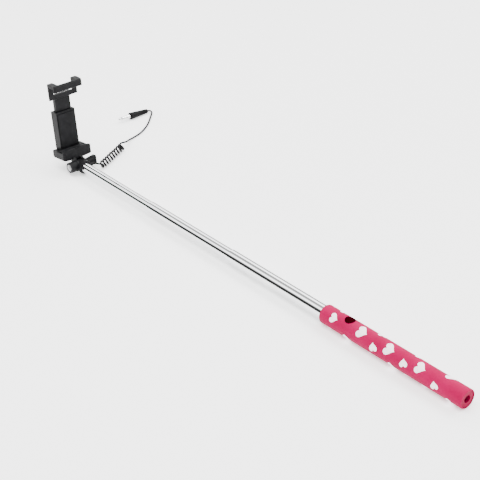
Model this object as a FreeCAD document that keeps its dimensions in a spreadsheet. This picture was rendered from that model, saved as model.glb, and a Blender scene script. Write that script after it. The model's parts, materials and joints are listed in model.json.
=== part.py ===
import FreeCAD, Part
import math
import os
import re
import Sketcher
from FreeCAD import Placement, Rotation, Vector

# Telescopic selfie stick lying on a surface.  +X runs from the clamp to the butt of the grip, +Y is
# the side of the thumb knob, +Z is up.  The origin is under the middle of the stick's box.  Pieces of
# the stick are drawn about the stick's own axis from the hinge; pieces of the clamp are drawn about
# the hinge with Z up the clamp, and lean back together.

SIZES = {
    # whole stick
    "hinge_x": -208.73, "hinge_z": 7.45, "clamp_lean": 7.0, "jaw_shift": 0.8,
    # grip
    "grip_front": 310.6, "butt": 445.4, "grip_radius": 7.45, "grip_bore": 6.15, "grip_lip": 1.5,
    "front_round": 1.5, "butt_round": 0.8, "cap_seat": 5.2, "cap_radius": 6.4, "cap_sink": 0.4,
    "spigot_start": 430.1, "strap_hole": 3.0, "strap_depth": 8.0,
    # tubes, each sliding in the next
    "tube_wall": 0.35, "front_radius": 4.5, "middle_radius": 5.05, "rear_radius": 5.6,
    "outer_radius": 6.1, "mouth": 2.5, "mouth_gap": 0.05, "outer_start": 312.2, "outer_end": 440.1,
    "front_start": 6.2, "front_joint": 102.8, "rear_joint": 205.7,
    "front_tail": 8.0, "rear_tail": 12.0,
    "bush_flange": 1.5, "bush_spigot": 4.0, "bush_wall": 0.7, "slide_gap": 0.06,
    # shutter button and switch
    "button_place": 335.8, "button_hole": 4.1, "button_radius": 3.9, "button_top": 7.7,
    "button_under": 7.05, "plunger_radius": 1.2, "plunger_foot": 6.92,
    "board_half": 1.6, "board_reach": 3.2, "board_base": 6.12, "board_thick": 0.3,
    "dome_radius": 1.3, "dome_thick": 0.2, "dome_gap": 0.02,
    # head of the front tube
    "collar_start": 5.5, "collar_rim": 8.2, "collar_radius": 6.1, "collar_spigot": 16.0,
    "spigot_gap": 0.05, "lead_bore": 2.6, "tongue_half": 2.2, "tongue_radius": 4.6,
    "bolt_radius": 1.5, "bolt_gap": 0.06, "lead_radius": 2.2, "lead_start": 9.0, "lead_end": 426.1,
    # hinge stack along the hinge axis
    "ear_inner": 2.6, "ear_outer": 4.7, "ear_radius": 5.2, "boss_radius": 4.8, "boss_outer": 11.3,
    "nut_flat": 2.75, "nut_thick": 2.4, "nut_out": 11.6, "bolt_start": 12.1, "bolt_end": 13.2,
    "washer_radius": 3.9, "washer_thick": 0.3, "washer_gap": 0.04,
    "knob_start": 5.5, "knob_end": 16.6, "knob_hub": 3.3, "knob_root": 2.7, "knob_wing": 4.4,
    "knob_half": 1.9, "insert_radius": 2.2, "insert_start": 5.7, "insert_end": 13.4,
    # lower jaw and housing, in the clamp's own frame
    "jaw_half": 14.6, "ledge_back": 21.0, "ledge_front": 3.0, "ledge_base": 4.8, "ledge_end": 6.4,
    "ledge_top": 12.4, "lip_front": 2.8, "lip_back": 4.9, "lip_top": 15.2, "lip_end": 13.6, "lip_dip": 14.3,
    "lip_hump": 6.5, "ledge_round": 1.4,
    "spine_front": 13.5, "spine_half": 9.6,
    "spine_top": 47.0, "cavity_front": 14.9, "cavity_back": 19.7, "cavity_half": 8.1,
    "cavity_base": 15.6, "pad_top": 13.2, "pad_half": 13.4, "back_pad": 12.6,
    "screw_radius": 1.0, "screw_head": 1.9,
    # upper jaw
    "slider_front": 15.6, "slider_back": 19.3, "slider_half": 7.7, "slider_foot": 20.5,
    "window_half": 5.4, "window_top": 41.5, "shoulder": 60.0, "arm_half": 14.4, "arm_inner": 9.8, "arm_back": 14.6,
    "arm_under": 71.9, "arm_top": 75.4, "bar_foot": 68.8, "bar_front": 2.6, "bar_back": 4.6,
    "bar_top": 74.7, "horn_round": 1.2,
    "gap_half": 8.0,
    "spring_radius": 1.8, "spring_wire": 0.25, "spring_foot": 18.4, "spring_head": 41.0,
    "spring_side": 2.7, "pin_radius": 0.7,
    # cord, coil and plug
    "cord_radius": 0.8, "coil_radius": 3.8, "gland_radius": 1.3,
    "gland_end": 8.6, "gland_x": 6.85, "boot_nose": 3.4, "boot_tail": 2.0, "boot_length": 21.5,
    "pin_contact": 1.75, "pin_core": 1.35, "pin_length": 14.0,
}

# Routes of the cord, from a point on the surface under the hinge.
EXIT_ROUTE = [(6.85, 8.6, 7.45), (7.2, 10.9, 6.9), (8.9, 12.3, 5.6), (9.6, 14.0, 4.6), (8.9, 15.6, 4.3)]
COIL_ENDS = [(8.9, 15.7, 3.82), (-11.2, 55.2, 3.82)]
TAIL_ROUTE = [
    (-11.2, 55.3, 6.6), (-13.2, 59.1, 6.1), (-17.0, 63.8, 3.7), (-20.6, 69.6, 1.5), (-23.0, 76.6, 0.85),
    (-25.4, 84.8, 0.85), (-29.6, 92.8, 0.85), (-35.0, 100.8, 0.85), (-41.4, 108.2, 0.85),
    (-48.2, 115.0, 0.95), (-54.4, 120.6, 1.2), (-58.2, 122.6, 1.8), (-58.4, 118.6, 2.1),
]
PLUG_NOSE = (-57.2, 97.2, 3.5)

os.makedirs("parts", exist_ok=True)
doc = FreeCAD.newDocument("SelfieStick")
sheet = doc.addObject("Spreadsheet::Sheet", "Dimensions")
for row, (word, size) in enumerate(SIZES.items(), start=1):
    sheet.set("A%d" % row, word)
    sheet.set("B%d" % row, str(size))
    sheet.setAlias("B%d" % row, word)
doc.recompute()

TERM = re.compile(r"([+-]?)\s*([A-Za-z_]\w*|\d+\.?\d*)")
parts = {}


def amount(terms):
    """Value of a sum of aliases and numbers, such as 'butt - cap_sink'."""
    total = 0.0
    for sign, word in TERM.findall(terms):
        size = sheet.get(word) if word in SIZES else float(word)
        total += -size if sign == "-" else size
    return total


def linked(terms):
    """The same sum as an expression on the sheet's cells."""
    return TERM.sub(lambda m: m.group(1) + ("Dimensions." if m.group(2) in SIZES else "") + m.group(2), terms)


def between(low, high):
    """The sum that takes one place from another."""
    signed = low if low[0] in "+-" else "+" + low
    return high + " " + re.sub(r"[+-]", lambda m: "-" if m.group() == "+" else "+", signed)


def bind(thing, **sizes):
    for name, terms in sizes.items():
        thing.setExpression(name, linked(terms))


def at(x="0", y="0", z="0"):
    return Vector(amount(x), amount(y), amount(z))


HINGE = Placement(at("hinge_x", "0", "hinge_z"), Rotation())
PIVOT = Placement(HINGE.Base, Rotation(Vector(0, 1, 0), -amount("clamp_lean")))
CLAMP = Placement(at("hinge_x", "jaw_shift", "hinge_z"), PIVOT.Rotation)


def floor_point(point):
    """A point of the cord's route, moved from under the hinge into the stick's frame."""
    return Vector(point[0] + amount("hinge_x"), point[1], point[2])


def keep(label, thing, place):
    thing.Label = label
    thing.Placement = place
    parts[label] = thing
    return thing


# ---- sketches and features -------------------------------------------------------------------

def new_body(label):
    return doc.addObject("PartDesign::Body", label.title().replace("_", ""))


def outline(body, plane, points):
    """Closed polygon on one of the body's origin planes, every corner held by two cells' sums."""
    sketch = body.newObject("Sketcher::SketchObject", "Outline")
    face = next(f for f in body.Origin.OriginFeatures if f.Role == plane)
    sketch.AttachmentSupport = [(face, "")]
    sketch.MapMode = "FlatFace"
    corners = [Vector(amount(x), amount(y), 0) for x, y in points]
    for number, corner in enumerate(corners):
        following = corners[(number + 1) % len(corners)]
        sketch.addGeometry(Part.LineSegment(corner, following), False)
    for number in range(len(corners)):
        sketch.addConstraint(Sketcher.Constraint("Coincident", number, 2, (number + 1) % len(corners), 1))
    for number, (x, y) in enumerate(points):
        for kind, terms in (("DistanceX", x), ("DistanceY", y)):
            held = sketch.addConstraint(Sketcher.Constraint(kind, -1, 1, number, 1, amount(terms)))
            sketch.setExpression("Constraints[%d]" % held, linked(terms))
    return sketch


def ring_sketch(body, plane, centre, radius):
    """A circle on one of the body's origin planes."""
    sketch = body.newObject("Sketcher::SketchObject", "Ring")
    face = next(f for f in body.Origin.OriginFeatures if f.Role == plane)
    sketch.AttachmentSupport = [(face, "")]
    sketch.MapMode = "FlatFace"
    middle = Vector(amount(centre[0]), amount(centre[1]), 0)
    sketch.addGeometry(Part.Circle(middle, Vector(0, 0, 1), amount(radius)), False)
    size = sketch.addConstraint(Sketcher.Constraint("Radius", 0, amount(radius)))
    sketch.setExpression("Constraints[%d]" % size, linked(radius))
    for kind, terms in (("DistanceX", centre[0]), ("DistanceY", centre[1])):
        held = sketch.addConstraint(Sketcher.Constraint(kind, -1, 1, 0, 3, amount(terms)))
        sketch.setExpression("Constraints[%d]" % held, linked(terms))
    return sketch


def turn(body, points):
    """Revolve an outline of (along, radius) about the body's X axis."""
    sketch = outline(body, "XZ_Plane", points)
    feature = body.newObject("PartDesign::Revolution", "Turn")
    feature.Profile = sketch
    feature.ReferenceAxis = (sketch, ["H_Axis"])
    feature.Angle = 360
    body.Tip = feature
    return feature


def pad(body, sketch, width):
    """Extrude a sketch equally to both sides of its plane."""
    feature = body.newObject("PartDesign::Pad", "Slab")
    feature.Profile = sketch
    feature.SideType = "Symmetric"
    bind(feature, Length=width + " + " + width)
    body.Tip = feature
    return feature


def pocket(body, sketch, width):
    """Cut a sketch equally to both sides of its plane."""
    feature = body.newObject("PartDesign::Pocket", "Cut")
    feature.Profile = sketch
    feature.SideType = "Symmetric"
    bind(feature, Length=width + " + " + width)
    body.Tip = feature
    return feature


def round_edges(body, radius, chosen):
    """Fillet the edges of the body's tip that the test picks."""
    doc.recompute()
    base = body.Tip
    names = ["Edge%d" % (n + 1) for n, edge in enumerate(base.Shape.Edges) if chosen(edge)]
    feature = body.newObject("PartDesign::Fillet", "Round")
    feature.Base = (base, names)
    bind(feature, Radius=radius)
    body.Tip = feature
    return feature


def is_ring(edge, along, radius):
    """True for a full circle about X at one place along it."""
    curve = edge.Curve
    if not isinstance(curve, Part.Circle):
        return False
    return abs(curve.Center.x - along) < 0.01 and abs(curve.Radius - radius) < 0.01


def runs_along(edge, axis, length):
    """True for a straight edge parallel to an axis and at least this long."""
    if not isinstance(edge.Curve, Part.Line) or edge.Length < length:
        return False
    return abs(abs(edge.tangentAt(edge.FirstParameter).dot(axis)) - 1) < 1e-6


# ---- primitives --------------------------------------------------------------------------------

def rod(radius, start, end, axis=Vector(0, 1, 0), x="0", z="0"):
    """Cylinder parallel to Y (or another axis) between two places on it."""
    thing = doc.addObject("Part::Cylinder", "Rod")
    bind(thing, Radius=radius, Height=between(start, end))
    thing.Placement = Placement(at(x, "0", z) + axis * amount(start), Rotation(Vector(0, 0, 1), axis))
    return thing


def block(low, high):
    """Box between two corners, each a triple of sums."""
    thing = doc.addObject("Part::Box", "Block")
    for name, start, end in zip(("Length", "Width", "Height"), low, high):
        thing.setExpression(name, linked(between(start, end)))
    thing.Placement = Placement(at(*low), Rotation())
    return thing


def cut(base, *tools):
    for tool in tools:
        feature = doc.addObject("Part::Cut", "Difference")
        feature.Base = base
        feature.Tool = tool
        base = feature
    return base


def fuse(*things):
    feature = doc.addObject("Part::MultiFuse", "Union")
    feature.Shapes = list(things)
    feature.Refine = True
    return feature


def group(*things):
    feature = doc.addObject("Part::Compound", "Group")
    feature.Links = list(things)
    return feature


# ---- grip --------------------------------------------------------------------------------------

def make_grip_sleeve():
    body = new_body("grip_sleeve")
    turn(body, [
        ("grip_front", "rear_radius + 0.15"), ("grip_front", "grip_radius"), ("butt", "grip_radius"),
        ("butt", "cap_radius + 0.05"), ("butt - cap_seat", "cap_radius + 0.05"), ("butt - cap_seat", "grip_bore"),
        ("grip_front + grip_lip", "grip_bore"), ("grip_front + grip_lip", "rear_radius + 0.15"),
    ])
    round_edges(body, "front_round", lambda e: is_ring(e, amount("grip_front"), amount("grip_radius")))
    round_edges(body, "butt_round", lambda e: is_ring(e, amount("butt"), amount("grip_radius")))
    hole = body.newObject("PartDesign::Pocket", "ButtonHole")
    hole.Profile = ring_sketch(body, "XY_Plane", ("button_place", "0"), "button_hole")
    hole.Reversed = True
    bind(hole, Length="grip_radius + 1")
    body.Tip = hole
    return keep("grip_sleeve", body, HINGE)


def make_end_cap():
    body = new_body("end_cap")
    turn(body, [
        ("spigot_start", "0"), ("spigot_start", "outer_radius - tube_wall - spigot_gap"),
        ("outer_end + 0.1", "outer_radius - tube_wall - spigot_gap"), ("outer_end + 0.1", "cap_radius"),
        ("butt - cap_sink", "cap_radius"), ("butt - cap_sink", "strap_hole"),
        ("butt - cap_sink - strap_depth", "strap_hole"), ("butt - cap_sink - strap_depth", "0"),
    ])
    round_edges(body, "cap_sink", lambda e: is_ring(e, amount("butt - cap_sink"), amount("cap_radius")))
    return keep("end_cap", body, HINGE)


def make_tube(label, start, end, radius, mouth_radius=None):
    """Thin tube with a mouth rolled in around the tube that slides in it."""
    body = new_body(label)
    bore = radius + " - tube_wall"
    points = [(start, radius), (end, radius), (end, bore)]
    if mouth_radius:
        points += [(start + " + mouth + 0.5", bore), (start + " + mouth", mouth_radius), (start, mouth_radius)]
    else:
        points += [(start, bore)]
    turn(body, points)
    return keep(label, body, HINGE)


def make_bushing(label, tube_end, radius, host_radius):
    """Plastic ring in a tube's tail that guides it in the next tube."""
    body = new_body(label)
    inner = radius + " - tube_wall - bush_wall"
    turn(body, [
        (tube_end + " - bush_spigot", inner), (tube_end + " - bush_spigot", radius + " - tube_wall - 0.03"),
        (tube_end + " + 0.02", radius + " - tube_wall - 0.03"),
        (tube_end + " + 0.02", host_radius + " - tube_wall - slide_gap"),
        (tube_end + " + bush_flange", host_radius + " - tube_wall - slide_gap"),
        (tube_end + " + bush_flange", inner),
    ])
    return keep(label, body, HINGE)


def make_shutter_button():
    """Round cap that follows the grip's curve, with a plunger over the snap dome."""
    along = Vector(1, 0, 0)
    skin = cut(rod("button_top", "button_place - 6", "button_place + 6", along),
               rod("button_under", "button_place - 7", "button_place + 7", along))
    cap = doc.addObject("Part::Common", "Cap")
    cap.Base = skin
    cap.Tool = rod("button_radius", "0", "button_top + 1", Vector(0, 0, 1), "button_place")
    plunger = rod("plunger_radius", "plunger_foot", "button_under + 0.3", Vector(0, 0, 1), "button_place")
    return keep("shutter_button", fuse(cap, plunger), HINGE)


def make_switch():
    board = block(("button_place - board_reach", "-board_half", "board_base"),
                  ("button_place + board_reach", "board_half", "board_base + board_thick"))
    keep("switch_board", group(board), HINGE)
    dome = rod("dome_radius", "board_base + board_thick + dome_gap",
               "board_base + board_thick + dome_gap + dome_thick", Vector(0, 0, 1), "button_place")
    keep("snap_dome", group(dome), HINGE)


# ---- head --------------------------------------------------------------------------------------

def make_head_collar():
    """Collar on the front tube with a rounded tongue that the clamp turns on."""
    body = new_body("head_collar")
    turn(body, [
        ("collar_start", "0"), ("collar_start", "collar_radius"), ("collar_rim", "collar_radius"),
        ("collar_rim", "front_radius + spigot_gap"), ("front_start - 0.1", "front_radius + spigot_gap"),
        ("front_start - 0.1", "front_radius - tube_wall - spigot_gap"),
        ("collar_spigot", "front_radius - tube_wall - spigot_gap"), ("collar_spigot", "lead_bore"),
        ("lead_start - 0.2", "lead_bore"), ("lead_start - 0.2", "0"),
    ])
    pad(body, ring_sketch(body, "XZ_Plane", ("0", "0"), "tongue_radius"), "tongue_half")
    neck = outline(body, "XZ_Plane", [
        ("0", "-tongue_radius"), ("collar_start + 0.6", "-tongue_radius"),
        ("collar_start + 0.6", "tongue_radius"), ("0", "tongue_radius"),
    ])
    pad(body, neck, "tongue_half")
    pocket(body, ring_sketch(body, "XZ_Plane", ("0", "0"), "bolt_radius + bolt_gap"), "collar_radius")
    round_edges(body, "0.7", lambda e: is_ring(e, amount("collar_rim"), amount("collar_radius")))
    return keep("head_collar", body, HINGE)


def make_gland():
    thing = doc.addObject("Part::Cone", "Gland")
    bind(thing, Radius1="gland_radius", Radius2="gland_radius - 0.25", Height="gland_end - collar_radius - 0.1")
    place = Placement(at("gland_x", "collar_radius + 0.1"), Rotation(Vector(0, 0, 1), Vector(0, 1, 0)))
    thing.Placement = place
    return keep("cord_gland", group(thing), HINGE)


def make_hinge_stack():
    """Bolt, nut, washers and knob on the hinge axis."""
    keep("hinge_bolt", group(rod("bolt_radius", "-bolt_start", "bolt_end")), PIVOT)
    nut = doc.addObject("Part::Prism", "Nut")
    nut.Polygon = 6
    bind(nut, Circumradius="nut_flat + 0.425", Height="nut_thick")
    nut.Placement = Placement(at("0", "-nut_out"), Rotation(Vector(0, 0, 1), Vector(0, 1, 0)))
    keep("hex_nut", cut(nut, rod("bolt_radius + 0.02", "-nut_out - 1", "0")), PIVOT)
    pair = []
    for near in ("-ear_inner + washer_gap", "tongue_half + washer_gap"):
        ring = rod("washer_radius", near, near + " + washer_thick")
        pair.append(cut(ring, rod("bolt_radius + bolt_gap", "-ear_outer", "ear_outer")))
    keep("friction_washers", group(*pair), PIVOT)
    seat = rod("washer_radius - 0.5", "ear_outer + washer_gap", "knob_start - washer_gap - 0.2")
    keep("knob_washer", cut(seat, rod("bolt_radius + bolt_gap", "0", "knob_start + 1")), PIVOT)


def make_thumb_knob():
    """Flared two-winged knob on a round hub, drawn on the plane through the hinge axis."""
    body = new_body("thumb_knob")
    wing = outline(body, "YZ_Plane", [
        ("knob_start", "-knob_root"), ("knob_end - 1.4", "-knob_wing"), ("knob_end", "-knob_wing + 0.6"),
        ("knob_end", "knob_wing - 0.6"), ("knob_end - 1.4", "knob_wing"), ("knob_start", "knob_root"),
    ])
    pad(body, wing, "knob_half")
    round_edges(body, "0.7", lambda e: runs_along(e, Vector(1, 0, 0), 3))
    round_edges(body, "0.5", lambda e: e.BoundBox.XLength < 0.01 and e.BoundBox.YMin > amount("knob_start + 0.1"))
    doc.recompute()
    hub = rod("knob_hub", "knob_start", "insert_end - 0.6")
    bore = rod("insert_radius + 0.02", "insert_start", "insert_end")
    tunnel = rod("bolt_radius + 0.3", "knob_start - 1", "insert_end")
    knob = cut(fuse(body, hub), bore, tunnel)
    keep("thumb_knob", knob, PIVOT)
    threads = cut(rod("insert_radius", "insert_start + 0.02", "insert_end - 0.02"),
                  rod("bolt_radius + 0.05", "insert_start - 1", "insert_end + 1"))
    keep("knob_insert", threads, PIVOT)


# ---- clamp -------------------------------------------------------------------------------------

def make_ledge():
    """Lower jaw: deepest over the fork, with a front lip in two low humps."""
    body = new_body("ledge")
    side = outline(body, "XZ_Plane", [
        ("-ledge_back", "ledge_base + 2.8"), ("-ledge_back + 2.5", "ledge_base + 1.6"),
        ("-ledge_front - 7", "ledge_base"), ("-lip_front - 1.2", "ledge_base"), ("-lip_front", "ledge_base + 1.2"),
        ("-lip_front", "lip_top - 0.6"), ("-lip_front - 0.6", "lip_top"), ("-lip_back", "lip_top"),
        ("-lip_back", "ledge_top"), ("-ledge_back", "ledge_top"),
    ])
    pad(body, side, "jaw_half")
    round_edges(body, "ledge_round", lambda e: runs_along(e, Vector(0, 0, 1), 4))
    front = new_body("ledge_front_view")
    pad(front, outline(front, "YZ_Plane", [
        ("-jaw_half", "ledge_end"), ("-jaw_half + 2.2", "ledge_base + 0.7"), ("-ear_outer - 3", "ledge_base"),
        ("ear_outer + 3", "ledge_base"), ("jaw_half - 2.2", "ledge_base + 0.7"), ("jaw_half", "ledge_end"),
        ("jaw_half", "lip_end"), ("jaw_half - 1", "lip_end + 0.6"), ("lip_hump + 1.5", "lip_top"),
        ("lip_hump - 1.5", "lip_top"), ("1.5", "lip_dip"), ("-1.5", "lip_dip"), ("-lip_hump + 1.5", "lip_top"),
        ("-lip_hump - 1.5", "lip_top"), ("-jaw_half + 1", "lip_end + 0.6"), ("-jaw_half", "lip_end"),
    ]), "ledge_back + 5")
    ledge = doc.addObject("Part::Common", "Ledge")
    ledge.Base = body
    ledge.Tool = front
    return ledge


def make_spine():
    """Housing behind the phone, open at the back and at the top."""
    body = new_body("spine")
    pad(body, outline(body, "XZ_Plane", [
        ("-ledge_back", "ledge_top - 2"), ("-spine_front", "ledge_top - 2"),
        ("-spine_front", "spine_top"), ("-ledge_back", "spine_top"),
    ]), "spine_half")
    pocket(body, outline(body, "XZ_Plane", [
        ("-ledge_back - 1", "cavity_base"), ("-cavity_front", "cavity_base"),
        ("-cavity_front", "spine_top + 1"), ("-ledge_back - 1", "spine_top + 1"),
    ]), "cavity_half")
    return body


def make_fork():
    """Two ears joined by a web behind the tongue."""
    body = new_body("fork")
    pad(body, outline(body, "XZ_Plane", [
        ("-ear_radius", "0"), ("ear_radius", "0"), ("ear_radius", "1.6"), ("-ledge_front - 0.4", "ledge_base + 2.5"),
        ("-ledge_front - 5.5", "ledge_base + 2.5"), ("-ledge_front - 3.7", "ledge_base - 0.8"),
    ]), "ear_outer")
    pad(body, ring_sketch(body, "XZ_Plane", ("0", "0"), "ear_radius"), "ear_outer")
    return body


def make_clamp_base():
    """Lower jaw, housing and fork in one moulding, with a boss that holds the nut."""
    slot = new_body("tongue_slot")
    pad(slot, outline(slot, "XZ_Plane", [
        ("-tongue_radius - 0.5", "-ear_radius - 1"), ("ear_radius + 1", "-ear_radius - 1"),
        ("ear_radius + 1", "ledge_base + 4.2"), ("-ledge_front + 0.4", "ledge_base + 4.2"),
        ("-ledge_front + 0.4", "tongue_radius + 0.6"), ("-tongue_radius - 0.5", "tongue_radius + 0.6"),
    ]), "ear_inner")
    jaw = fuse(make_ledge(), make_spine())
    jaw.Placement = Placement(at("0", "jaw_shift"), Rotation())
    moulding = fuse(jaw, make_fork(), rod("boss_radius", "-boss_outer", "-ear_outer + 0.2"))
    keep("clamp_base", cut(moulding, slot, rod("nut_flat + 0.6", "-boss_outer - 1", "-nut_out + nut_thick + 0.1"),
                           rod("bolt_radius + bolt_gap", "-boss_outer - 1", "boss_outer")), PIVOT)


def make_clamp_inside():
    """Back cover and its screws, the spring pin, the springs and the rubber pads."""
    cover = block(("-ledge_back - 1.1", "-spine_half", "ledge_top + 0.1"),
                  ("-ledge_back - 0.05", "spine_half", "spine_top"))
    lip = block(("-ledge_back - 0.06", "-cavity_half + 0.05", "cavity_base + 0.05"),
                ("-cavity_back", "cavity_half - 0.05", "spine_top"))
    shell = fuse(cover, lip)
    screws = []
    holes = []
    for side in (-1, 1):
        spot = Vector(-amount("ledge_back + 1.7"), side * amount("spine_half - 2.6"), amount("cavity_base + 1.6"))
        turned = Rotation(Vector(0, 0, 1), Vector(1, 0, 0))
        head = rod("screw_head", "0", "0.9", Vector(1, 0, 0))
        head.Placement = Placement(spot, turned)
        shank = rod("screw_radius", "0", "3.2", Vector(1, 0, 0))
        shank.Placement = Placement(spot, turned)
        screws.append(fuse(head, shank))
        for radius, depth in (("screw_head + 0.05", "0.95"), ("screw_radius + 0.05", "3.4")):
            hole = rod(radius, "0", depth, Vector(1, 0, 0))
            hole.Placement = Placement(spot - Vector(0.02, 0, 0), turned)
            holes.append(hole)
    keep("clamp_back_cover", cut(shell, *holes), CLAMP)
    keep("cover_screws", group(*screws), CLAMP)


def make_upper_jaw():
    """Flat slider with a window for the springs, a bridge, two rounded horns and the front bar."""
    body = new_body("upper_jaw")
    side = outline(body, "XZ_Plane", [
        ("-arm_back", "shoulder"), ("-back_pad", "shoulder"), ("-back_pad", "arm_under"),
        ("-lip_back", "arm_under"), ("-lip_back", "bar_foot"), ("-bar_front - 0.5", "bar_foot"),
        ("-bar_front", "bar_foot + 0.6"), ("-bar_front", "bar_top - 1.1"), ("-bar_front - 0.9", "bar_top"),
        ("-lip_back", "bar_top + 0.2"), ("-lip_back - 2.4", "arm_top"), ("-arm_back + 1.9", "arm_top"),
        ("-arm_back + 0.6", "arm_top - 0.6"), ("-arm_back", "arm_top - 1.9"),
    ])
    pad(body, side, "arm_half")
    slider = outline(body, "XZ_Plane", [
        ("-slider_back", "slider_foot"), ("-slider_front", "slider_foot"), ("-slider_front", "shoulder - 1.5"),
        ("-back_pad", "shoulder"), ("-back_pad", "shoulder + 4"), ("-slider_front", "shoulder + 4"),
        ("-slider_back", "shoulder + 1.5"),
    ])
    pad(body, slider, "slider_half")
    window = outline(body, "XZ_Plane", [
        ("-slider_back - 1", "slider_foot - 1"), ("-slider_front + 1", "slider_foot - 1"),
        ("-slider_front + 1", "window_top"), ("-slider_back - 1", "window_top"),
    ])
    pocket(body, window, "window_half")
    round_edges(body, "horn_round", lambda e: runs_along(e, Vector(0, 0, 1), 1.5) and is_outside(e))
    gap = new_body("horn_gap")
    pad(gap, outline(gap, "XY_Plane", [
        ("-slider_back - 1", "-arm_inner - 1.3"), ("-arm_back", "-arm_inner - 1.3"),
        ("-arm_back + 0.4", "-arm_inner - 0.4"), ("-arm_back + 1.3", "-arm_inner"), ("-bar_back - 1.3", "-arm_inner"),
        ("-bar_back - 0.4", "-arm_inner + 0.4"), ("-bar_back", "-arm_inner + 1.3"),
        ("-bar_back", "arm_inner - 1.3"), ("-bar_back - 0.4", "arm_inner - 0.4"), ("-bar_back - 1.3", "arm_inner"),
        ("-arm_back + 1.3", "arm_inner"), ("-arm_back + 0.4", "arm_inner + 0.4"), ("-arm_back", "arm_inner + 1.3"),
        ("-slider_back - 1", "arm_inner + 1.3"),
    ]), "gap_half")
    gap.Placement = Placement(at("0", "0", "shoulder + 4 + gap_half"), Rotation())
    keep("upper_jaw", cut(body, gap), CLAMP)


def is_outside(edge):
    """True for an edge on the outer side of a horn, at its back or at the bar's front."""
    middle = edge.BoundBox.Center
    ends = (-amount("arm_back"), -amount("bar_front"))
    return abs(abs(middle.y) - amount("arm_half")) < 0.01 and min(abs(middle.x - end) for end in ends) < 0.01


def make_springs():
    """Two close-wound springs between the housing's pin and the slider's window."""
    coils = []
    for side in (-1, 1):
        coil = doc.addObject("Part::Cylinder", "SpringCase")
        bind(coil, Radius="spring_radius", Height="spring_head - spring_foot")
        coil.Placement = Placement(at("-slider_front - 1.85", "0", "spring_foot"), Rotation())
        bore = doc.addObject("Part::Cylinder", "SpringBore")
        bind(bore, Radius="spring_radius - spring_wire - spring_wire", Height="spring_head - spring_foot")
        bore.Placement = coil.Placement
        ring = cut(coil, bore)
        ring.Placement = Placement(Vector(0, side * amount("spring_side"), 0), Rotation())
        coils.append(ring)
    keep("jaw_springs", group(*coils), CLAMP)
    pin = rod("pin_radius", "-cavity_half + 0.1", "cavity_half - 0.1", Vector(0, 1, 0), "-slider_front - 1.85",
              "spring_foot - 1.0")
    keep("spring_pin", group(pin), CLAMP)


def make_pads():
    lower = block(("-back_pad + 0.1", "-pad_half", "ledge_top + 0.02"), ("-lip_back - 0.1", "pad_half", "pad_top"))
    keep("lower_pad", group(lower), CLAMP)
    behind = block(("-spine_front + 0.02", "-spine_half + 1", "pad_top + 2"),
                   ("-back_pad", "spine_half - 1", "spine_top - 2"))
    keep("back_pad", group(behind), CLAMP)


# ---- cord and plug -----------------------------------------------------------------------------

def bent_path(points):
    """Straight runs joined by tangent arcs; prints the arc radii."""
    edges = []
    radii = []
    start = points[0]
    for before, corner, after in zip(points, points[1:], points[2:]):
        inward = (corner - before).normalize()
        outward = (after - corner).normalize()
        half_turn = inward.getAngle(outward) / 2
        setback = 0.45 * min((corner - before).Length, (after - corner).Length)
        radius = setback / math.tan(half_turn)
        radii.append(round(radius, 1))
        first = corner - inward * setback
        last = corner + outward * setback
        centre_way = (outward - inward).normalize()
        middle = corner + centre_way * (radius / math.cos(half_turn) - radius)
        edges.append(Part.LineSegment(start, first).toShape())
        edges.append(Part.Arc(first, middle, last).toShape())
        start = last
    edges.append(Part.LineSegment(start, points[-1]).toShape())
    print("arc radii", radii)
    return Part.Wire(edges)


def make_cord(label, route):
    path = bent_path([floor_point(p) for p in route])
    radius = amount("cord_radius")
    heading = path.Edges[0].tangentAt(path.Edges[0].FirstParameter)
    ring = Part.Wire([Part.makeCircle(radius, path.Edges[0].Vertexes[0].Point, heading)])
    tube = path.makePipeShell([ring], True, False)
    feature = doc.addObject("Part::Feature", "Cord")
    feature.Shape = tube
    expected = math.pi * radius ** 2 * path.Length
    print(label, "length", round(path.Length, 2), "volume ratio", round(tube.Volume / expected, 4))
    return keep(label, feature, Placement())


def make_coil():
    low, high = (floor_point(p) for p in COIL_ENDS)
    thing = doc.addObject("Part::Cylinder", "Coil")
    bind(thing, Radius="coil_radius")
    thing.Height = (high - low).Length
    return keep("cord_coil", thing, Placement(low, Rotation(Vector(0, 0, 1), high - low)))


def make_plug():
    """Tapered boot and a four-contact pin, lying on the surface."""
    tail = floor_point(TAIL_ROUTE[-1])
    nose = floor_point(PLUG_NOSE)
    heading = Rotation(Vector(1, 0, 0), nose - tail)
    length = (nose - tail).Length
    boot = new_body("plug_boot")
    turn(boot, [
        ("0", "0"), ("0", "boot_tail - 0.4"), ("0.8", "boot_tail"), ("boot_length - 0.6", "boot_nose"),
        ("boot_length", "boot_nose - 0.5"), ("boot_length", "0"),
    ])
    keep("plug_boot", boot, Placement(tail, heading))
    pin = new_body("plug_pin")
    turn(pin, [
        ("boot_length + 0.02", "0"), ("boot_length + 0.02", "pin_contact"), ("boot_length + 11", "pin_contact"),
        ("boot_length + 11.8", "pin_core"), ("boot_length + 12.6", "pin_contact - 0.15"),
        ("boot_length + pin_length", "0.5"), ("boot_length + pin_length", "0"),
    ])
    keep("plug_pin", pin, Placement(tail, heading))
    print("boot length from route", round(length, 2))


def make_lead():
    """Spiral lead inside the tubes, as the tube that it fills."""
    lead = rod("lead_radius", "lead_start", "lead_end", Vector(1, 0, 0))
    return keep("inner_lead", group(lead), HINGE)


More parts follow.
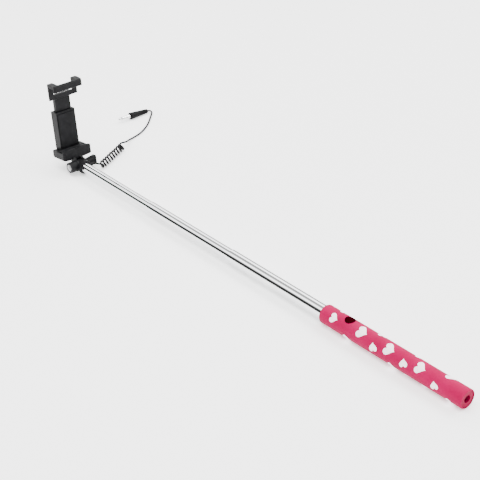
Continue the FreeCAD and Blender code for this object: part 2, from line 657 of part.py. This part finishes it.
make_grip_sleeve()
make_end_cap()
make_tube("outer_tube", "outer_start", "outer_end", "outer_radius", "rear_radius + mouth_gap")
make_tube("rear_tube", "rear_joint", "grip_front + rear_tail", "rear_radius", "middle_radius + mouth_gap")
make_tube("middle_tube", "front_joint", "rear_joint + front_tail", "middle_radius", "front_radius + mouth_gap")
make_tube("front_tube", "front_start", "front_joint + front_tail", "front_radius")
make_bushing("rear_bushing", "grip_front + rear_tail", "rear_radius", "outer_radius")
make_bushing("middle_bushing", "rear_joint + front_tail", "middle_radius", "rear_radius")
make_bushing("front_bushing", "front_joint + front_tail", "front_radius", "middle_radius")
make_shutter_button()
make_switch()
make_head_collar()
make_gland()
make_hinge_stack()
make_thumb_knob()
make_clamp_base()
make_clamp_inside()
make_upper_jaw()
make_springs()
make_pads()
make_cord("cord_exit", EXIT_ROUTE)
make_coil()
make_cord("cord_tail", TAIL_ROUTE)
make_plug()
make_lead()
doc.recompute()

failed = [thing for thing in doc.Objects if "Invalid" in thing.State or "Error" in thing.State]
if failed:
    raise RuntimeError("; ".join("%s %s %s" % (t.Label, t.Name, t.getStatusString()) for t in failed))
for label, thing in parts.items():
    shape = thing.Shape
    if shape.isNull() or not shape.isValid():
        raise RuntimeError(label + " has no valid shape")
    print("%-18s %2d solids %9.2f mm3" % (label, len(shape.Solids), shape.Volume))
    shape.exportStep("parts/%s.step" % label)
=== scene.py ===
import json
import math

import bmesh
import bpy
from mathutils import Matrix, Vector


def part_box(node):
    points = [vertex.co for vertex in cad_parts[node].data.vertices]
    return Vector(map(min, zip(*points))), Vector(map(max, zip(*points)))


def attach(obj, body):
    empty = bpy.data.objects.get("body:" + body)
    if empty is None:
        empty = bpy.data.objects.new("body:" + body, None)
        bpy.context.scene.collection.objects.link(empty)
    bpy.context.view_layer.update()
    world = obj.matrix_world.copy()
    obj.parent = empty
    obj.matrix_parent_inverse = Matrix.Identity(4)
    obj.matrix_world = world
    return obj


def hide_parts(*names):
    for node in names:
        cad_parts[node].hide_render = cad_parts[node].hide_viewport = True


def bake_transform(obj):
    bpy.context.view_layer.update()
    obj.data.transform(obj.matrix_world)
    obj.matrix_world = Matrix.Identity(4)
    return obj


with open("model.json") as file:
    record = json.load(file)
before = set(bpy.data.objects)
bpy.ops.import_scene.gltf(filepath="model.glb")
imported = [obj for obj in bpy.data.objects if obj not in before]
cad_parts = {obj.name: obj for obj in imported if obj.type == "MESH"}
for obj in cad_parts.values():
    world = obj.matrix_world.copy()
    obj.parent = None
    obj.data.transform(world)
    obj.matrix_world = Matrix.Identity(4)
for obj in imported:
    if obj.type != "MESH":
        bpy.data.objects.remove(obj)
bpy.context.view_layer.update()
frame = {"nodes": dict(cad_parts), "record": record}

MM = 0.001
JOINTS = {joint["name"]: joint for joint in frame["record"]["behaviour"]["joints"]}
HINGE = Vector(JOINTS["head_tilt"]["pos_m"])
GRIP_LOW, GRIP_HIGH = (Vector(corner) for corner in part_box("grip_sleeve"))
GRIP_RADIUS = (GRIP_HIGH.z - GRIP_LOW.z) / 2
AXIS_HEIGHT = HINGE.z
FLOOR = Vector((HINGE.x, 0, 0))


def add_object(name, data):
    thing = bpy.data.objects.new(name, data)
    bpy.context.scene.collection.objects.link(thing)
    return thing


# ---- camera ------------------------------------------------------------------------------------

# The way the camera faces, turned from +Y and down from level, and its place from the hinge in metres.
AZIMUTH = math.radians(49.1)
ELEVATION = math.radians(30.8)
FROM_HINGE = Vector((0.8639, -0.5616, 0.5305))
LENS = 97.5
SENSOR = 36


def add_camera():
    """Looks down the whole stick from past its butt and to one side, about 1.16 m from the hinge."""
    camera = add_object("camera", bpy.data.cameras.new("camera"))
    camera.location = HINGE + FROM_HINGE
    camera.rotation_euler = (math.pi / 2 - ELEVATION, 0, AZIMUTH)
    camera.data.lens = LENS
    camera.data.sensor_width = SENSOR
    camera.data.clip_start = 0.01
    bpy.context.scene.camera = camera


# ---- node materials ----------------------------------------------------------------------------

# The part of a noise's range that most of it falls in.
NOISE_LOW = 0.3
NOISE_HIGH = 0.7


class Nodes:
    """Short ways to add nodes to a material."""

    def __init__(self, name):
        self.material = bpy.data.materials.new(name)
        self.material.use_nodes = True
        self.tree = self.material.node_tree
        self.shader = self.tree.nodes["Principled BSDF"]
        self.coords = self.add("ShaderNodeTexCoord").outputs["Object"]

    def add(self, kind, **settings):
        node = self.tree.nodes.new(kind)
        for name, value in settings.items():
            setattr(node, name, value)
        return node

    def link(self, output, target):
        self.tree.links.new(output, target)

    def noise(self, scale, detail=3.0, stretch=(1, 1, 1)):
        mapping = self.add("ShaderNodeMapping")
        mapping.inputs["Scale"].default_value = stretch
        self.link(self.coords, mapping.inputs["Vector"])
        noise = self.add("ShaderNodeTexNoise")
        noise.inputs["Scale"].default_value = scale
        noise.inputs["Detail"].default_value = detail
        self.link(mapping.outputs["Vector"], noise.inputs["Vector"])
        return noise.outputs["Fac"]

    def spread(self, output, low, high):
        """Maps a noise's middle range onto the range from low to high."""
        node = self.add("ShaderNodeMapRange")
        node.inputs["From Min"].default_value = NOISE_LOW
        node.inputs["From Max"].default_value = NOISE_HIGH
        node.inputs["To Min"].default_value = low
        node.inputs["To Max"].default_value = high
        self.link(output, node.inputs["Value"])
        return node.outputs["Result"]

    def colour(self, factor, first, second):
        """Base colour that wanders from the first to the second."""
        node = self.add("ShaderNodeMix", data_type="RGBA")
        node.inputs["A"].default_value = (*first, 1)
        node.inputs["B"].default_value = (*second, 1)
        self.link(factor, node.inputs["Factor"])
        self.feed(node.outputs["Result"], "Base Color")

    def roughness(self, output, low, high):
        """Roughness that a noise moves from low to high."""
        self.feed(self.spread(output, low, high), "Roughness")

    def bump(self, output, strength, distance):
        """Fine relief; the distance is its depth in metres."""
        node = self.add("ShaderNodeBump")
        node.inputs["Strength"].default_value = strength
        node.inputs["Distance"].default_value = distance
        self.link(output, node.inputs["Height"])
        self.feed(node.outputs["Normal"], "Normal")

    def feed(self, output, socket):
        """Links an output to one of the shader's own sockets."""
        self.link(output, self.shader.inputs[socket])

    def set(self, socket, value):
        self.shader.inputs[socket].default_value = value


def pink_film():
    """Satin printed film: saturated hot pink that is a touch uneven, with fine handling marks."""
    nodes = Nodes("pink_film")
    cloud = nodes.spread(nodes.noise(scale=60, detail=3), low=0, high=1)
    nodes.colour(cloud, (0.29, 0.0, 0.046), (0.36, 0.0005, 0.064))
    nodes.roughness(nodes.noise(scale=700, detail=4), low=0.40, high=0.54)
    nodes.bump(nodes.noise(scale=2200, detail=3), strength=0.10, distance=0.00005)
    nodes.set("Specular IOR Level", 0.05)
    nodes.set("Specular Tint", (1.0, 0.25, 0.45, 1))
    return nodes.material


def heart_ink_painted_glow():
    """White ink that lets a little pink through, with a painted glow: a faint emission keeps it as pale as
    the print.
    """
    nodes = Nodes("heart_ink_painted_glow")
    cloud = nodes.spread(nodes.noise(scale=700, detail=3), low=0, high=1)
    nodes.colour(cloud, (0.96, 0.80, 0.86), (0.98, 0.88, 0.92))
    nodes.roughness(nodes.noise(scale=900, detail=3), low=0.34, high=0.46)
    nodes.bump(nodes.noise(scale=2500, detail=2), strength=0.06, distance=0.00004)
    # Painted glow: the ink emits a little pink-white light of its own.
    nodes.set("Emission Color", (1.0, 0.80, 0.88, 1))
    nodes.set("Emission Strength", 0.5)
    return nodes.material


def chrome():
    """Bright plated tube with faint draw lines along it and soft handling haze."""
    nodes = Nodes("chrome")
    nodes.set("Metallic", 1.0)
    haze = nodes.spread(nodes.noise(scale=35, detail=3), low=0, high=1)
    nodes.colour(haze, (0.70, 0.705, 0.715), (0.77, 0.775, 0.78))
    nodes.roughness(nodes.noise(scale=120, detail=4, stretch=(0.15, 1, 1)), low=0.04, high=0.075)
    nodes.bump(nodes.noise(scale=1500, detail=3, stretch=(0.02, 1, 1)), strength=0.04, distance=0.00002)
    return nodes.material


def steel(name="steel", tone=0.6, rough=(0.22, 0.36)):
    """Zinc plated steel with a fine cloudy finish."""
    nodes = Nodes(name)
    nodes.set("Metallic", 1.0)
    cloud = nodes.spread(nodes.noise(scale=500, detail=4), low=0, high=1)
    light = (tone * 1.12, tone * 1.13, tone * 1.15)
    nodes.colour(cloud, (tone, tone, tone), light)
    nodes.roughness(nodes.noise(scale=1200, detail=4), *rough)
    nodes.bump(nodes.noise(scale=3000, detail=3), strength=0.08, distance=0.00003)
    return nodes.material


def brass():
    nodes = Nodes("brass")
    nodes.set("Metallic", 1.0)
    cloud = nodes.spread(nodes.noise(scale=500, detail=3), low=0, high=1)
    nodes.colour(cloud, (0.70, 0.50, 0.20), (0.80, 0.62, 0.30))
    nodes.roughness(nodes.noise(scale=1300, detail=3), low=0.2, high=0.34)
    return nodes.material


def moulded(name, dark, light, rough, grain=2600, depth=0.00006, strength=0.35, shine=0.08):
    """Moulded plastic or rubber with a fine spark texture and a slightly uneven sheen."""
    nodes = Nodes(name)
    cloud = nodes.spread(nodes.noise(scale=160, detail=4), low=0, high=1)
    nodes.colour(cloud, dark, light)
    nodes.roughness(nodes.noise(scale=420, detail=4), *rough)
    nodes.bump(nodes.noise(scale=grain, detail=4), strength, depth)
    nodes.set("Specular IOR Level", shine)
    return nodes.material


# ---- mesh helpers ------------------------------------------------------------------------------

def add_mesh(name, mesh, material, body=None):
    """Smooth shaded piece; one that bends between two bodies is given none to ride on."""
    piece = add_object(name, mesh)
    mesh.materials.append(material)
    for polygon in mesh.polygons:
        polygon.use_smooth = True
    if body:
        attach(piece, body)
    return piece


def paint(node, material):
    thing = frame["nodes"][node]
    thing.data.materials.clear()
    thing.data.materials.append(material)


def finished(mesh, name):
    """Turns a bmesh into mesh data with its normals outward, and frees it."""
    bmesh.ops.recalc_face_normals(mesh, faces=mesh.faces)
    data = bpy.data.meshes.new(name)
    mesh.to_mesh(data)
    mesh.free()
    return data


def lathe(profile, steps):
    """Mesh from (along X, radius) points turned about X; ends of radius 0 close it."""
    mesh = bmesh.new()
    rings = []
    for along, radius in profile:
        if radius == 0:
            rings.append([mesh.verts.new((along, 0, 0))])
            continue
        ring = []
        for step in range(steps):
            angle = 2 * math.pi * step / steps
            ring.append(mesh.verts.new((along, radius * math.cos(angle), radius * math.sin(angle))))
        rings.append(ring)
    for first, second in zip(rings, rings[1:]):
        for step in range(steps):
            following = (step + 1) % steps
            corners = [first[step % len(first)], first[following % len(first)],
                       second[following % len(second)], second[step % len(second)]]
            unique = list(dict.fromkeys(corners))
            if len(unique) > 2:
                mesh.faces.new(unique)
    return finished(mesh, "lathe")


def keep_crisp(thing, angle):
    """Keeps the edges that are sharper than the angle, in degrees, crisp in the smooth shading."""
    mesh = bmesh.new()
    mesh.from_mesh(thing.data)
    for edge in mesh.edges:
        if len(edge.link_faces) == 2 and edge.calc_face_angle() > math.radians(angle):
            edge.smooth = False
    mesh.to_mesh(thing.data)
    mesh.free()


SHARP_EDGE = math.radians(38)


def soften(node, width):
    """Rounds the sharp edges of a CAD piece with a modifier."""
    bevel = frame["nodes"][node].modifiers.new("soft_edges", "BEVEL")
    bevel.width = width
    bevel.segments = 3
    bevel.limit_method = "ANGLE"
    bevel.angle_limit = SHARP_EDGE
    bevel.harden_normals = False


# ---- cord and plug -----------------------------------------------------------------------------

CORD_DIAMETER = 1.6 * MM
COIL_RADIUS = 3.0 * MM
COIL_TURNS = 10
TURN_POINTS = 16
# How far a turn leans along the coil at its sides and on top, as shares of its radius.
LEAN_SIDE = 0.75
LEAN_UP = 0.45
# Share of the full radius that the first turn starts with, and how much and how fast the turns vary.
FIRST_OPENING = 0.6
SLACK = 0.035
SLACK_RATE = 1.7
# Share of the coil's length that is left free at each end.
END_MARGIN = 0.012

# Route points in millimetres from the surface under the hinge.
EXIT_ROUTE = [(6.85, 8.6, 7.45), (6.95, 10.7, 7.3), (7.0, 12.6, 6.7), (7.4, 14.3, 6.0)]
COIL_ENDS = [(8.9, 15.7, 3.82), (-11.2, 55.2, 3.82)]
TAIL_ROUTE = [
    (-10.3, 56.4, 6.9), (-10.3, 58.5, 6.7), (-12.4, 60.8, 5.8), (-16.2, 64.2, 3.7), (-20.6, 69.6, 1.5),
    (-23.0, 76.6, 0.85), (-25.4, 84.8, 0.85), (-29.6, 92.8, 0.85), (-35.0, 100.8, 0.85),
    (-41.4, 108.2, 0.85), (-47.0, 113.8, 0.9), (-51.5, 118.6, 1.0), (-53.9, 120.9, 1.2),
    (-55.6, 121.8, 1.4), (-57.4, 121.5, 1.7), (-58.4, 120.4, 1.9), (-58.4, 118.6, 2.1),
]
PLUG_NOSE = (-57.2, 97.2, 3.5)


def placed(point):
    return FLOOR + Vector(point) * MM


def helix_points():
    """Turns of the curly part, each leaning over a little as a loosely laid cord does.

    The first turn opens out from the exit, and the last one ends on top, where the tail begins.
    """
    start, end = (placed(point) for point in COIL_ENDS)
    along = (end - start).normalized()
    side = along.cross(Vector((0, 0, 1))).normalized()
    up = side.cross(along)
    total = COIL_TURNS * TURN_POINTS
    # At each point the spline takes 3/4 of it and 1/8 of each neighbour, so it runs inside its points.
    drawn_radius = COIL_RADIUS / (0.75 + 0.25 * math.cos(2 * math.pi / TURN_POINTS))
    points = []
    for number in range(1, total):
        turned = 2 * math.pi * number / TURN_POINTS
        opening = min(1.0, FIRST_OPENING + (1 - FIRST_OPENING) * number / TURN_POINTS)
        slack = 1 + SLACK * math.sin(SLACK_RATE * number / TURN_POINTS)
        radius = drawn_radius * opening * slack / (1 + SLACK)
        ends = min(1.0, number / TURN_POINTS, (total - number) / TURN_POINTS)
        across = side * math.sin(turned) + up * math.cos(turned)
        lean = -ends * radius * (LEAN_SIDE * math.sin(turned) + LEAN_UP * math.cos(turned))
        place = start.lerp(end, END_MARGIN + (1 - 2 * END_MARGIN) * number / total)
        points.append(place + across * radius + along * lean)
    return points


def add_cord(material):
    """The whole free cord, from the gland through the curly part to the plug."""
    points = [placed(point) for point in EXIT_ROUTE] + helix_points()
    points += [placed(point) for point in TAIL_ROUTE]
    curve = bpy.data.curves.new("cord", "CURVE")
    curve.dimensions = "3D"
    spline = curve.splines.new("NURBS")
    spline.points.add(len(points) - 1)
    for target, point in zip(spline.points, points):
        target.co = (*point, 1)
    spline.order_u = 3
    spline.use_endpoint_u = True
    spline.resolution_u = 4
    curve.bevel_depth = CORD_DIAMETER / 2
    curve.bevel_resolution = 5
    curve.materials.append(material)
    cord = add_object("cord", curve)
    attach(cord, "head")
    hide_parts("cord_exit", "cord_coil", "cord_tail")
    return cord


def plug_frame():
    """Matrix whose X axis runs from the boot's tail to its nose."""
    tail = placed(TAIL_ROUTE[-1])
    heading = (placed(PLUG_NOSE) - tail).normalized()
    turn = Vector((1, 0, 0)).rotation_difference(heading)
    return Matrix.Translation(tail) @ turn.to_matrix().to_4x4()


BOOT_THIN = 2.0 * MM
BOOT_WIDE = 3.4 * MM
# The grooves between the boot's ribs.
GROOVES = 5
GROOVE_START = 2.0 * MM
GROOVE_STEP = 1.5 * MM
GROOVE_DEPTH = 0.22 * MM
# Smooth part of the boot in front of the grooves.
NOSE = 5 * MM
PIN_RADIUS = 1.75
INSULATOR_RADIUS = 1.7
BAND_EDGE = 0.06 * MM
# Bands of the pin as (name, start and end in millimetres from the boot's nose, conducts).
BANDS = [
    ("plug_sleeve", 0.05, 4.6, True), ("plug_insulator_a", 4.6, 5.0, False),
    ("plug_ring_a", 5.0, 7.4, True), ("plug_insulator_b", 7.4, 7.8, False),
    ("plug_ring_b", 7.8, 9.9, True), ("plug_insulator_c", 9.9, 10.3, False),
]
# The tip as (along, radius), in millimetres from the boot's nose.
TIP = [
    (10.3, 0), (10.3, 1.7), (10.36, 1.75), (11.0, 1.72), (11.6, 1.35), (11.9, 1.3), (12.5, 1.62),
    (12.9, 1.5), (13.6, 0.85), (13.95, 0.3), (14.0, 0),
]


def boot_profile(length):
    """Rounded tail, ribs on the taper, then the smooth nose with its rounded rim."""
    points = [(0, 0), (0, BOOT_THIN - 0.45 * MM), (0.25 * MM, BOOT_THIN - 0.15 * MM), (0.8 * MM, BOOT_THIN)]
    for number in range(GROOVES):
        left = GROOVE_START + number * GROOVE_STEP
        level = BOOT_THIN + (BOOT_WIDE - BOOT_THIN) * left / length
        points += [(left, level), (left + 0.12 * MM, level - GROOVE_DEPTH),
                   (left + 0.5 * MM, level - GROOVE_DEPTH), (left + 0.62 * MM, level + 0.03 * MM)]
    points += [(length - NOSE, BOOT_THIN + (BOOT_WIDE - BOOT_THIN) * (1 - NOSE / length)),
               (length - 0.6 * MM, BOOT_WIDE - 0.05 * MM), (length - 0.2 * MM, BOOT_WIDE - 0.2 * MM),
               (length, BOOT_WIDE - 0.6 * MM), (length, 0)]
    return points


def band_profile(low, high, radius):
    return [(low, 0), (low, radius - BAND_EDGE), (low + BAND_EDGE, radius),
            (high - BAND_EDGE, radius), (high, radius - BAND_EDGE), (high, 0)]


def add_turned(name, profile, material, steps, angle):
    """Piece of the plug, turned about its axis; edges sharper than the angle stay crisp."""
    mesh = lathe(profile, steps)
    mesh.transform(plug_frame())
    piece = add_mesh(name, mesh, material, "head")
    keep_crisp(piece, angle)
    return piece


def add_plug(rubber, metal, ring_dark):
    """Tapered boot with flex ribs and a four-contact pin."""
    length = (placed(PLUG_NOSE) - placed(TAIL_ROUTE[-1])).length
    boot = add_turned("plug_boot_shell", boot_profile(length), rubber, steps=64, angle=50)
    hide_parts("plug_boot")

    pin = []
    for name, start, end, conducts in BANDS:
        radius = (PIN_RADIUS if conducts else INSULATOR_RADIUS) * MM
        profile = band_profile(length + start * MM, length + end * MM, radius)
        pin.append(add_turned(name, profile, metal if conducts else ring_dark, steps=48, angle=40))
    profile = [(length + along * MM, radius * MM) for along, radius in TIP]
    tip = add_turned("plug_tip", profile, metal, steps=48, angle=50)
    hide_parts("plug_pin")
    pin.append(tip)
    return [boot] + pin


# ---- printed hearts ----------------------------------------------------------------------------

PRINT_THICKNESS = 0.03 * MM
OUTLINE_STEPS = 40
RING_SHARES = (0.0, 0.25, 0.5, 0.75, 1.0)
# Of the heart curve below: its width, and how far its middle lies under its origin.
CURVE_WIDTH = 32
CURVE_DROP = 2.5


def heart_outline():
    """Classic heart curve about its middle, one unit wide, tip towards -Y."""
    points = []
    for step in range(OUTLINE_STEPS):
        turn = 2 * math.pi * step / OUTLINE_STEPS
        across = 16 * math.sin(turn) ** 3
        upward = 13 * math.cos(turn) - 5 * math.cos(2 * turn) - 2 * math.cos(3 * turn) - math.cos(4 * turn)
        points.append(Vector((across / CURVE_WIDTH, (upward + CURVE_DROP) / CURVE_WIDTH)))
    return points


def add_heart(mesh, along, around, size, turned):
    """One heart wrapped on the grip; along and size are in metres, around and turned in degrees."""
    outline = heart_outline()
    radius = GRIP_RADIUS + PRINT_THICKNESS
    spin = Matrix.Rotation(math.radians(turned), 2)
    rings = []
    for share in RING_SHARES:
        ring = []
        for point in outline if share else outline[:1]:
            flat = spin @ point * share * size
            angle = math.radians(around) + flat.y / radius
            height = AXIS_HEIGHT + radius * math.sin(angle)
            ring.append(mesh.verts.new((GRIP_LOW.x + along + flat.x, -radius * math.cos(angle), height)))
        rings.append(ring)
    for first, second in zip(rings, rings[1:]):
        for step in range(len(second)):
            following = (step + 1) % len(second)
            if len(first) == 1:
                mesh.faces.new((first[0], second[step], second[following]))
            else:
                mesh.faces.new((first[step], second[step], second[following], first[following]))


# Hearts as (millimetres from the grip's front, degrees above -Y, size in millimetres, turn in degrees).
TIP_TO_BUTT = 90
TIP_UP = -155
HEARTS = [
    (14.1, 44, 7.8, TIP_TO_BUTT), (40.9, 60, 9.9, TIP_TO_BUTT), (67.6, 56, 9.9, TIP_TO_BUTT),
    (96.3, 57, 9.4, TIP_TO_BUTT), (54.2, 19, 7.3, TIP_UP), (82.3, 32, 6.9, TIP_UP),
    (111.2, 14, 6.7, TIP_UP), (118.1, 121, 9.6, TIP_TO_BUTT), (87.9, 139, 8.0, TIP_TO_BUTT),
    (52.9, 129, 7.2, TIP_UP), (14.9, 137, 7.6, TIP_UP),
    (28.7, -47, 8.8, TIP_TO_BUTT), (72.6, -51, 9.2, TIP_TO_BUTT),
    (99.9, -78, 8.0, TIP_UP), (124.9, -52, 8.4, TIP_TO_BUTT), (49.4, -88, 8.2, TIP_UP),
    (9.4, -92, 7.4, TIP_TO_BUTT), (31.9, 175, 9.4, TIP_TO_BUTT), (69.4, 168, 9.2, TIP_TO_BUTT),
    (103.4, 176, 9.6, TIP_TO_BUTT), (17.4, 214, 7.2, TIP_UP), (50.4, 212, 8.6, TIP_TO_BUTT),
    (85.4, 214, 7.4, TIP_UP), (120.9, 213, 8.2, TIP_UP), (31.4, 246, 8.4, TIP_TO_BUTT),
    (66.9, 250, 7.2, TIP_UP), (84.4, 262, 8.8, TIP_TO_BUTT), (109.9, 243, 7.4, TIP_TO_BUTT),
]


def add_hearts(ink_with_painted_glow):
    """Big and small hearts in staggered rows round the grip."""
    mesh = bmesh.new()
    for along, around, size, turned in HEARTS:
        add_heart(mesh, along * MM, around, size * MM, turned)
    print_layer = add_mesh("heart_print", finished(mesh, "heart_print"), ink_with_painted_glow, "grip")


# ---- lead inside the tubes ---------------------------------------------------------------------

WIRE_RADIUS = 0.5 * MM
LEAD_PITCH = 5.5 * MM
STEPS_PER_TURN = 14
WIRE_SIDES = 6
# Spans as (section ahead, section behind, share of the length).
LEAD_SPANS = [("head", "middle_section", 0.315), ("middle_section", "rear_section", 0.3425),
              ("rear_section", "grip", 0.3425)]


def spiral(first, last, coil_radius):
    """Wire wound about the stick's axis from first to last along X, closed at both ends."""
    mesh = bmesh.new()
    steps = round((last - first) / LEAD_PITCH) * STEPS_PER_TURN
    rings = []
    for step in range(steps + 1):
        turned = 2 * math.pi * step / STEPS_PER_TURN
        outward = Vector((0, math.cos(turned), math.sin(turned)))
        along = first + WIRE_RADIUS + (last - first - 2 * WIRE_RADIUS) * step / steps
        centre = Vector((along, 0, AXIS_HEIGHT)) + outward * coil_radius
        ring = []
        for side in range(WIRE_SIDES):
            angle = 2 * math.pi * side / WIRE_SIDES
            forward = Vector((WIRE_RADIUS * math.sin(angle), 0, 0))
            ring.append(mesh.verts.new(centre + outward * WIRE_RADIUS * math.cos(angle) + forward))
        rings.append(ring)
    for ring, following in zip(rings, rings[1:]):
        for side in range(WIRE_SIDES):
            beside = (side + 1) % WIRE_SIDES
            mesh.faces.new((ring[side], ring[beside], following[beside], following[side]))
    mesh.faces.new(rings[0])
    mesh.faces.new(rings[-1])
    return finished(mesh, "spiral_lead")


def add_lead(material):
    """Spiral lead from the switch to the head, in spans laid one after another along it."""
    low, high = (Vector(corner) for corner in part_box("inner_lead"))
    coil_radius = (high.z - low.z) / 2 - WIRE_RADIUS
    first = low.x
    for number, (ahead, behind, share) in enumerate(LEAD_SPANS):
        last = first + share * (high.x - low.x)
        span = add_mesh(f"spiral_lead_{number + 1}", spiral(first, last, coil_radius), material)
        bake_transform(span)
        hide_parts("inner_lead")
        first = last


# ---- stage -------------------------------------------------------------------------------------

FLOOR_REACH = 60.0
FLOOR_GAP = 0.2 * MM


def add_floor():
    """Pale paper that glows a little, and reaches past the horizon of a low view."""
    mesh = bpy.data.meshes.new("floor")
    corners = [(-FLOOR_REACH, -FLOOR_REACH, 0), (FLOOR_REACH, -FLOOR_REACH, 0),
               (FLOOR_REACH, FLOOR_REACH, 0), (-FLOOR_REACH, FLOOR_REACH, 0)]
    mesh.from_pydata(corners, [], [(0, 1, 2, 3)])
    floor = add_object("floor", mesh)
    floor.location.z = -FLOOR_GAP
    nodes = Nodes("floor_paper")
    cloud = nodes.noise(scale=3, detail=2)
    nodes.colour(cloud, (0.90, 0.90, 0.90), (0.93, 0.93, 0.93))
    nodes.set("Roughness", 0.9)
    nodes.set("Emission Color", (1, 1, 1, 1))
    nodes.set("Emission Strength", 0.9)
    mesh.materials.append(nodes.material)


def add_light(name, place, size, power):
    """Rectangular lamp that faces the origin."""
    data = bpy.data.lights.new(name, "AREA")
    data.shape = "RECTANGLE"
    data.size, data.size_y = size
    data.energy = power
    light = add_object(name, data)
    light.location = place
    light.rotation_euler = (-Vector(place)).to_track_quat("-Z", "Y").to_euler()


# The studio's tone by angle about the stick, from the horizon at -Y (0) over the top to the one at +Y (1).
SKY_STOPS = [
    (0.0, 0.03), (0.17, 0.02), (0.21, 0.14), (0.26, 0.9), (0.31, 2.6), (0.36, 2.6), (0.42, 0.9),
    (0.50, 0.35), (0.57, 0.3), (0.63, 0.9), (0.68, 3.2), (0.74, 3.2), (0.82, 0.8), (0.93, 0.3), (1.0, 0.25),
]
SKY_STRENGTH = 2.1


def add_math(tree, operation, first, second):
    """Math node whose two inputs are each a number or another node's output."""
    node = tree.nodes.new("ShaderNodeMath")
    node.operation = operation
    for socket, value in zip(node.inputs, (first, second)):
        if isinstance(value, (int, float)):
            socket.default_value = value
        else:
            tree.links.new(value, socket)
    return node.outputs["Value"]


def add_world():
    """Studio with two bright strips along the stick and a dark one low down, which line the chrome."""
    world = bpy.data.worlds.new("studio")
    bpy.context.scene.world = world
    world.use_nodes = True
    tree = world.node_tree
    tree.nodes.clear()
    coords = tree.nodes.new("ShaderNodeTexCoord")
    split = tree.nodes.new("ShaderNodeSeparateXYZ")
    tree.links.new(coords.outputs["Generated"], split.inputs["Vector"])
    flipped = add_math(tree, "MULTIPLY", split.outputs["Y"], -1)
    angle = add_math(tree, "ARCTAN2", split.outputs["Z"], flipped)
    share = add_math(tree, "DIVIDE", angle, math.pi)
    ramp = tree.nodes.new("ShaderNodeValToRGB")
    while len(ramp.color_ramp.elements) < len(SKY_STOPS):
        ramp.color_ramp.elements.new(0.5)
    for element, (position, tone) in zip(ramp.color_ramp.elements, SKY_STOPS):
        element.position = position
        element.color = (tone, tone, tone, 1)
    tree.links.new(share, ramp.inputs["Fac"])
    background = tree.nodes.new("ShaderNodeBackground")
    background.inputs["Strength"].default_value = SKY_STRENGTH
    tree.links.new(ramp.outputs["Color"], background.inputs["Color"])
    output = tree.nodes.new("ShaderNodeOutputWorld")
    tree.links.new(background.outputs["Background"], output.inputs["Surface"])


# ---- build -------------------------------------------------------------------------------------

add_camera()
black_rubber = moulded("black_rubber", (0.003, 0.003, 0.0035), (0.006, 0.006, 0.0065), (0.42, 0.56),
                       grain=1800)
black_plastic = moulded("black_plastic", (0.004, 0.004, 0.0045), (0.008, 0.008, 0.009), (0.34, 0.48))
soft_pad = moulded("soft_pad", (0.006, 0.006, 0.0065), (0.011, 0.011, 0.012), (0.7, 0.85),
                   grain=900, depth=0.0001)
button_plastic = moulded("button_plastic", (0.015, 0.0, 0.001), (0.023, 0.0, 0.0015), (0.40, 0.50),
                         grain=3000, depth=0.00003, strength=0.3, shine=0.0)
nylon = moulded("nylon", (0.62, 0.62, 0.60), (0.70, 0.70, 0.68), (0.45, 0.55))
board_green = moulded("board_green", (0.01, 0.10, 0.04), (0.02, 0.16, 0.07), (0.35, 0.45))
cap_pink = moulded("cap_pink", (0.19, 0.0, 0.026), (0.24, 0.0005, 0.036), (0.42, 0.54),
                   grain=2200, depth=0.00004, strength=0.2, shine=0.05)
film = pink_film()
plated = chrome()
zinc = steel()
bolt_steel = steel("bolt_steel", tone=0.33, rough=(0.28, 0.42))
contact = steel("contact", tone=0.78, rough=(0.10, 0.18))

cord = add_cord(black_rubber)
plug_pieces = add_plug(black_rubber, contact, black_plastic)

for node, material in {
    "grip_sleeve": film, "end_cap": cap_pink, "shutter_button": button_plastic,
    "outer_tube": zinc, "rear_tube": plated, "middle_tube": plated, "front_tube": plated,
    "rear_bushing": nylon, "middle_bushing": nylon, "front_bushing": nylon, "friction_washers": nylon,
    "switch_board": board_green, "snap_dome": zinc, "cord_gland": black_rubber,
    "head_collar": black_plastic, "clamp_base": black_plastic, "clamp_back_cover": black_plastic,
    "upper_jaw": black_plastic, "thumb_knob": black_plastic, "lower_pad": soft_pad, "back_pad": soft_pad,
    "hinge_bolt": bolt_steel, "cover_screws": bolt_steel, "hex_nut": bolt_steel, "knob_washer": zinc,
    "spring_pin": zinc, "jaw_springs": zinc, "knob_insert": brass(),
}.items():
    paint(node, material)
for node, width in {"clamp_base": 0.5, "upper_jaw": 0.7, "clamp_back_cover": 0.35, "thumb_knob": 0.45,
                    "lower_pad": 0.3, "back_pad": 0.3, "head_collar": 0.3, "hex_nut": 0.2}.items():
    soften(node, width * MM)
add_hearts(heart_ink_painted_glow())
add_lead(black_rubber)

add_floor()
add_world()
add_light("key", place=(0.1, -0.35, 1.9), size=(1.6, 0.8), power=42)
add_light("fill", place=(0.1, 1.6, 1.5), size=(1.8, 0.9), power=18)
